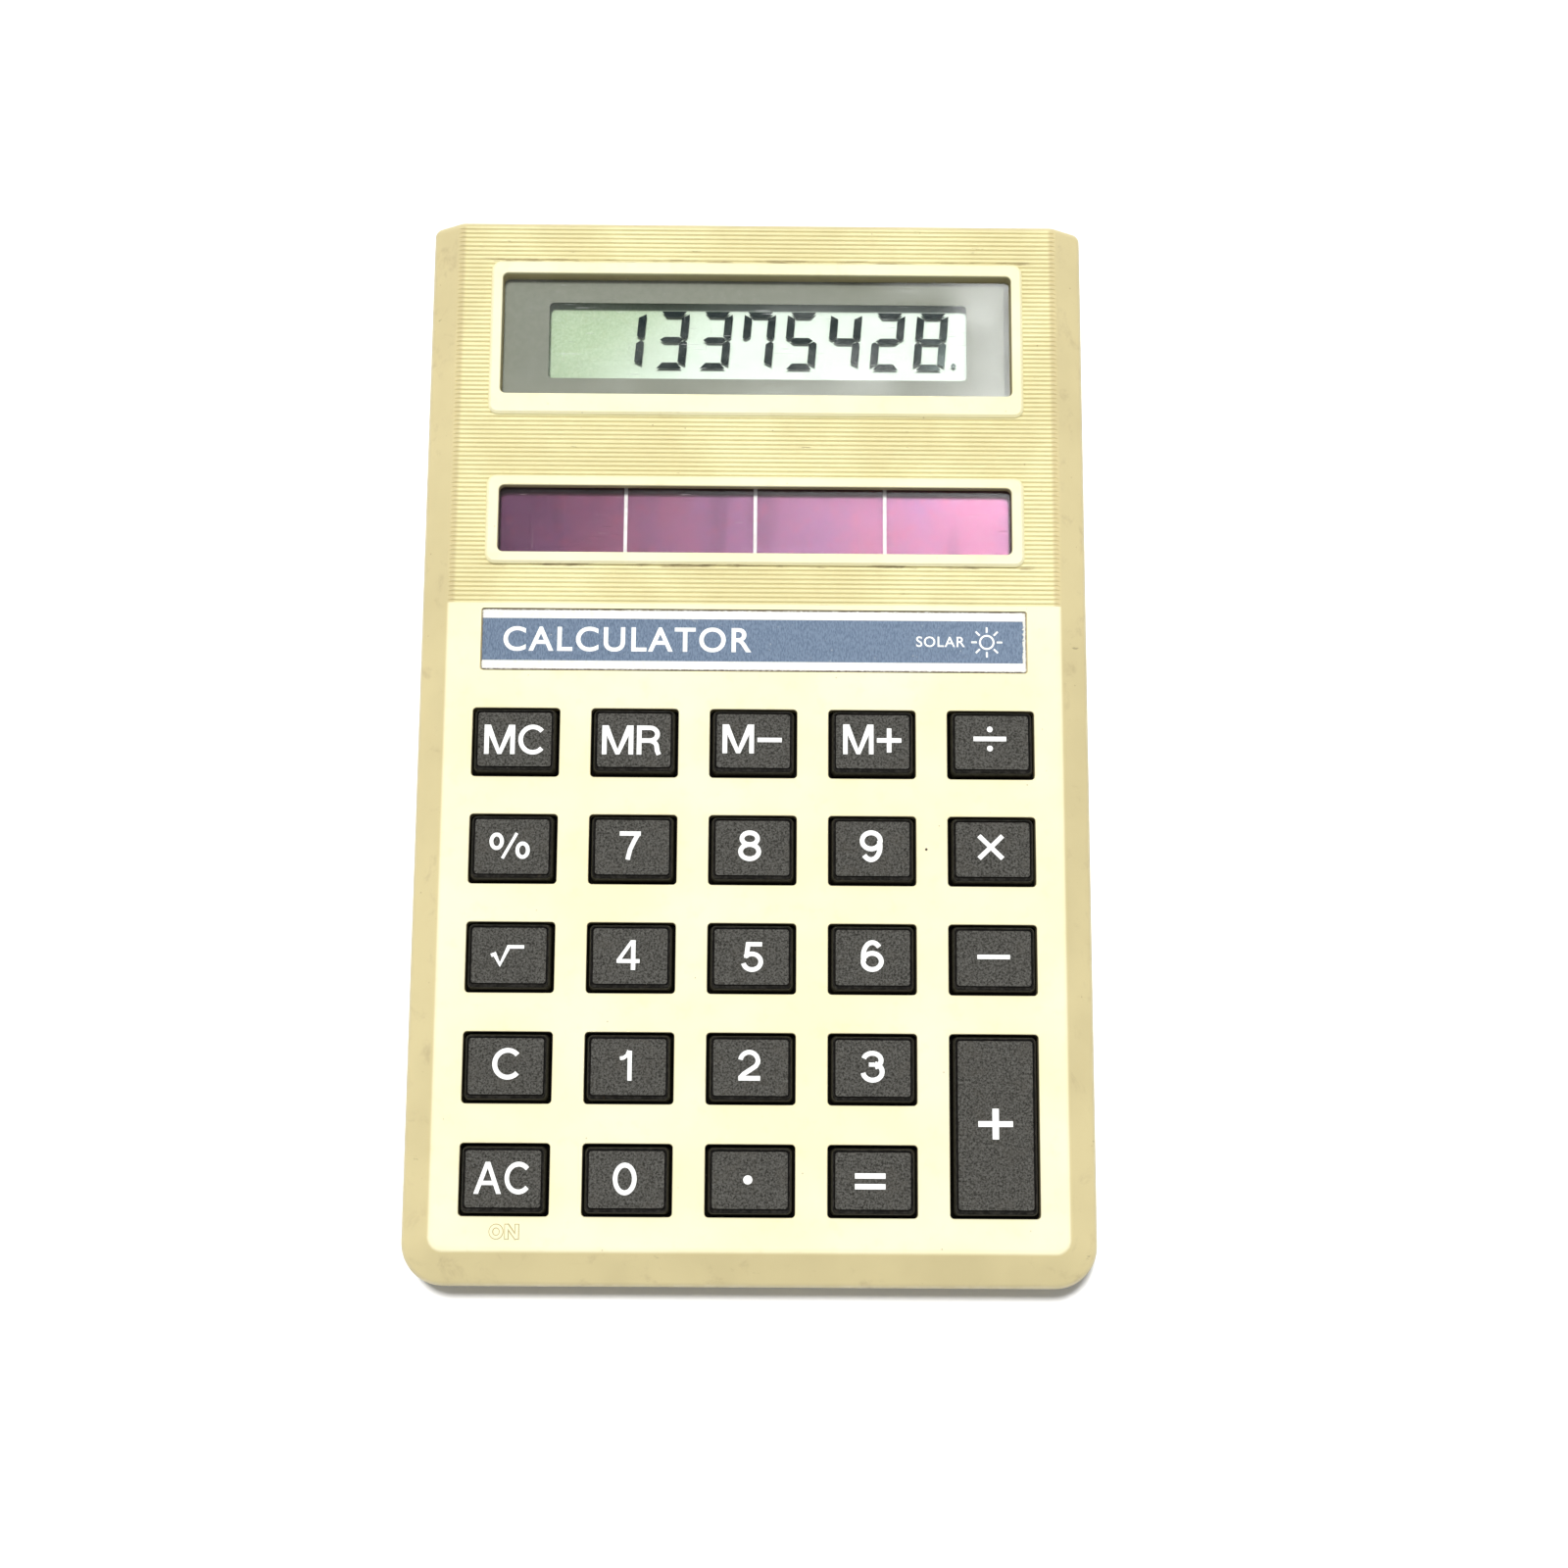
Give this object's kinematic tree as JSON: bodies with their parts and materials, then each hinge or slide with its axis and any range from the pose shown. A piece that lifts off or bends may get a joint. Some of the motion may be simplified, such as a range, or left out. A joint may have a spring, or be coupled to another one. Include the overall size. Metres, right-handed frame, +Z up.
{
  "type": "pocket calculator",
  "caption": "Slim solar pocket calculator with a cream ribbed case, framed display and solar panel, blue nameplate strip and dark grey sprung keys.",
  "frame": {"origin": "centre of the outline on the plane of the rear face, which it rests on", "axes": "+Z up out of the keys, +Y along the length from the keys towards the display, +X to the right of someone reading the display"},
  "size_m": [0.0712, 0.1146, 0.0092],
  "materials": {
    "case_plastic": "cream moulded ABS, yellowed",
    "key_plastic": "dark grey moulded, fine matte",
    "window_plastic": "clear acrylic, lightly scratched",
    "mask_print": "grey printed border",
    "polariser_film": "grey-green film",
    "reflector_film": "satin reflector",
    "display_glass": "clear",
    "connector_rubber": "layered silicone",
    "solar_cover": "clear",
    "cell_film": "purple thin film",
    "white_coat": "white coat",
    "nameplate_foil": "printed foil, blue band between white lines",
    "keypad_silicone": "light grey silicone",
    "carbon_rubber": "conductive rubber",
    "carbon_print": "carbon print",
    "board_laminate": "phenolic laminate",
    "chip_resin": "black moulded resin",
    "lead_metal": "tinned",
    "capacitor_sleeve": "blue shrink sleeve",
    "capacitor_ceramic": "unglazed",
    "resistor_body": "black coat",
    "diode_glass": "orange tinted",
    "wire_red": "soft insulation",
    "wire_black": "soft insulation",
    "solder": "satin",
    "screw_steel": "zinc plated"
  },
  "bodies": {
    "case": {"board_screws": "screw_steel", "capacitor_leads": "lead_metal", "case_screws": "screw_steel", "ceramic_capacitors": "capacitor_ceramic", "chip_leads": "lead_metal", "connector_strip": "connector_rubber", "contact_pads": "carbon_print", "contact_pills": "carbon_rubber", "display_front_glass": "display_glass", "display_front_polariser": "polariser_film", "display_rear_glass": "display_glass", "display_reflector": "reflector_film", "display_window": "window_plastic", "electrolytic_capacitor": "capacitor_sleeve", "front_case": "case_plastic", "keypad_rubber": "keypad_silicone", "limiter_diode": "diode_glass", "main_board": "board_laminate", "main_chip": "chip_resin", "nameplate": "nameplate_foil", "rear_case": "case_plastic", "resistors": "resistor_body", "solar_backing": "white_coat", "solar_cells": "cell_film", "solar_glass": "solar_cover", "solar_wire_black": "wire_black", "solar_wire_red": "wire_red", "solder_joints": "solder", "window_mask": "mask_print"},
    "key_0": {"key_0": "key_plastic"},
    "key_1": {"key_1": "key_plastic"},
    "key_2": {"key_2": "key_plastic"},
    "key_3": {"key_3": "key_plastic"},
    "key_4": {"key_4": "key_plastic"},
    "key_5": {"key_5": "key_plastic"},
    "key_6": {"key_6": "key_plastic"},
    "key_7": {"key_7": "key_plastic"},
    "key_8": {"key_8": "key_plastic"},
    "key_9": {"key_9": "key_plastic"},
    "key_ac": {"key_ac": "key_plastic"},
    "key_c": {"key_c": "key_plastic"},
    "key_divide": {"key_divide": "key_plastic"},
    "key_equals": {"key_equals": "key_plastic"},
    "key_m_minus": {"key_m_minus": "key_plastic"},
    "key_m_plus": {"key_m_plus": "key_plastic"},
    "key_mc": {"key_mc": "key_plastic"},
    "key_minus": {"key_minus": "key_plastic"},
    "key_mr": {"key_mr": "key_plastic"},
    "key_multiply": {"key_multiply": "key_plastic"},
    "key_percent": {"key_percent": "key_plastic"},
    "key_plus": {"key_plus": "key_plastic"},
    "key_point": {"key_point": "key_plastic"},
    "key_sqrt": {"key_sqrt": "key_plastic"}
  },
  "joints": [
    {"name": "key_0_press", "type": "slide", "parent": "case", "child": "key_0", "axis": [0, 0, -1], "range_m": [0, 0.0007], "stiffness_N_per_m": 1000, "springref_m": -0.0003, "deforming": ["keypad_rubber", "contact_pills"]},
    {"name": "key_1_press", "type": "slide", "parent": "case", "child": "key_1", "axis": [0, 0, -1], "range_m": [0, 0.0007], "stiffness_N_per_m": 1000, "springref_m": -0.0003, "deforming": ["keypad_rubber", "contact_pills"]},
    {"name": "key_2_press", "type": "slide", "parent": "case", "child": "key_2", "axis": [0, 0, -1], "range_m": [0, 0.0007], "stiffness_N_per_m": 1000, "springref_m": -0.0003, "deforming": ["keypad_rubber", "contact_pills"]},
    {"name": "key_3_press", "type": "slide", "parent": "case", "child": "key_3", "axis": [0, 0, -1], "range_m": [0, 0.0007], "stiffness_N_per_m": 1000, "springref_m": -0.0003, "deforming": ["keypad_rubber", "contact_pills"]},
    {"name": "key_4_press", "type": "slide", "parent": "case", "child": "key_4", "axis": [0, 0, -1], "range_m": [0, 0.0007], "stiffness_N_per_m": 1000, "springref_m": -0.0003, "deforming": ["keypad_rubber", "contact_pills"]},
    {"name": "key_5_press", "type": "slide", "parent": "case", "child": "key_5", "axis": [0, 0, -1], "range_m": [0, 0.0007], "stiffness_N_per_m": 1000, "springref_m": -0.0003, "deforming": ["keypad_rubber", "contact_pills"]},
    {"name": "key_6_press", "type": "slide", "parent": "case", "child": "key_6", "axis": [0, 0, -1], "range_m": [0, 0.0007], "stiffness_N_per_m": 1000, "springref_m": -0.0003, "deforming": ["keypad_rubber", "contact_pills"]},
    {"name": "key_7_press", "type": "slide", "parent": "case", "child": "key_7", "axis": [0, 0, -1], "range_m": [0, 0.0007], "stiffness_N_per_m": 1000, "springref_m": -0.0003, "deforming": ["keypad_rubber", "contact_pills"]},
    {"name": "key_8_press", "type": "slide", "parent": "case", "child": "key_8", "axis": [0, 0, -1], "range_m": [0, 0.0007], "stiffness_N_per_m": 1000, "springref_m": -0.0003, "deforming": ["keypad_rubber", "contact_pills"]},
    {"name": "key_9_press", "type": "slide", "parent": "case", "child": "key_9", "axis": [0, 0, -1], "range_m": [0, 0.0007], "stiffness_N_per_m": 1000, "springref_m": -0.0003, "deforming": ["keypad_rubber", "contact_pills"]},
    {"name": "key_ac_press", "type": "slide", "parent": "case", "child": "key_ac", "axis": [0, 0, -1], "range_m": [0, 0.0007], "stiffness_N_per_m": 1000, "springref_m": -0.0003, "deforming": ["keypad_rubber", "contact_pills"]},
    {"name": "key_c_press", "type": "slide", "parent": "case", "child": "key_c", "axis": [0, 0, -1], "range_m": [0, 0.0007], "stiffness_N_per_m": 1000, "springref_m": -0.0003, "deforming": ["keypad_rubber", "contact_pills"]},
    {"name": "key_divide_press", "type": "slide", "parent": "case", "child": "key_divide", "axis": [0, 0, -1], "range_m": [0, 0.0007], "stiffness_N_per_m": 1000, "springref_m": -0.0003, "deforming": ["keypad_rubber", "contact_pills"]},
    {"name": "key_equals_press", "type": "slide", "parent": "case", "child": "key_equals", "axis": [0, 0, -1], "range_m": [0, 0.0007], "stiffness_N_per_m": 1000, "springref_m": -0.0003, "deforming": ["keypad_rubber", "contact_pills"]},
    {"name": "key_m_minus_press", "type": "slide", "parent": "case", "child": "key_m_minus", "axis": [0, 0, -1], "range_m": [0, 0.0007], "stiffness_N_per_m": 1000, "springref_m": -0.0003, "deforming": ["keypad_rubber", "contact_pills"]},
    {"name": "key_m_plus_press", "type": "slide", "parent": "case", "child": "key_m_plus", "axis": [0, 0, -1], "range_m": [0, 0.0007], "stiffness_N_per_m": 1000, "springref_m": -0.0003, "deforming": ["keypad_rubber", "contact_pills"]},
    {"name": "key_mc_press", "type": "slide", "parent": "case", "child": "key_mc", "axis": [0, 0, -1], "range_m": [0, 0.0007], "stiffness_N_per_m": 1000, "springref_m": -0.0003, "deforming": ["keypad_rubber", "contact_pills"]},
    {"name": "key_minus_press", "type": "slide", "parent": "case", "child": "key_minus", "axis": [0, 0, -1], "range_m": [0, 0.0007], "stiffness_N_per_m": 1000, "springref_m": -0.0003, "deforming": ["keypad_rubber", "contact_pills"]},
    {"name": "key_mr_press", "type": "slide", "parent": "case", "child": "key_mr", "axis": [0, 0, -1], "range_m": [0, 0.0007], "stiffness_N_per_m": 1000, "springref_m": -0.0003, "deforming": ["keypad_rubber", "contact_pills"]},
    {"name": "key_multiply_press", "type": "slide", "parent": "case", "child": "key_multiply", "axis": [0, 0, -1], "range_m": [0, 0.0007], "stiffness_N_per_m": 1000, "springref_m": -0.0003, "deforming": ["keypad_rubber", "contact_pills"]},
    {"name": "key_percent_press", "type": "slide", "parent": "case", "child": "key_percent", "axis": [0, 0, -1], "range_m": [0, 0.0007], "stiffness_N_per_m": 1000, "springref_m": -0.0003, "deforming": ["keypad_rubber", "contact_pills"]},
    {"name": "key_plus_press", "type": "slide", "parent": "case", "child": "key_plus", "axis": [0, 0, -1], "range_m": [0, 0.0007], "stiffness_N_per_m": 1000, "springref_m": -0.0003, "deforming": ["keypad_rubber", "contact_pills"]},
    {"name": "key_point_press", "type": "slide", "parent": "case", "child": "key_point", "axis": [0, 0, -1], "range_m": [0, 0.0007], "stiffness_N_per_m": 1000, "springref_m": -0.0003, "deforming": ["keypad_rubber", "contact_pills"]},
    {"name": "key_sqrt_press", "type": "slide", "parent": "case", "child": "key_sqrt", "axis": [0, 0, -1], "range_m": [0, 0.0007], "stiffness_N_per_m": 1000, "springref_m": -0.0003, "deforming": ["keypad_rubber", "contact_pills"]}
  ]
}
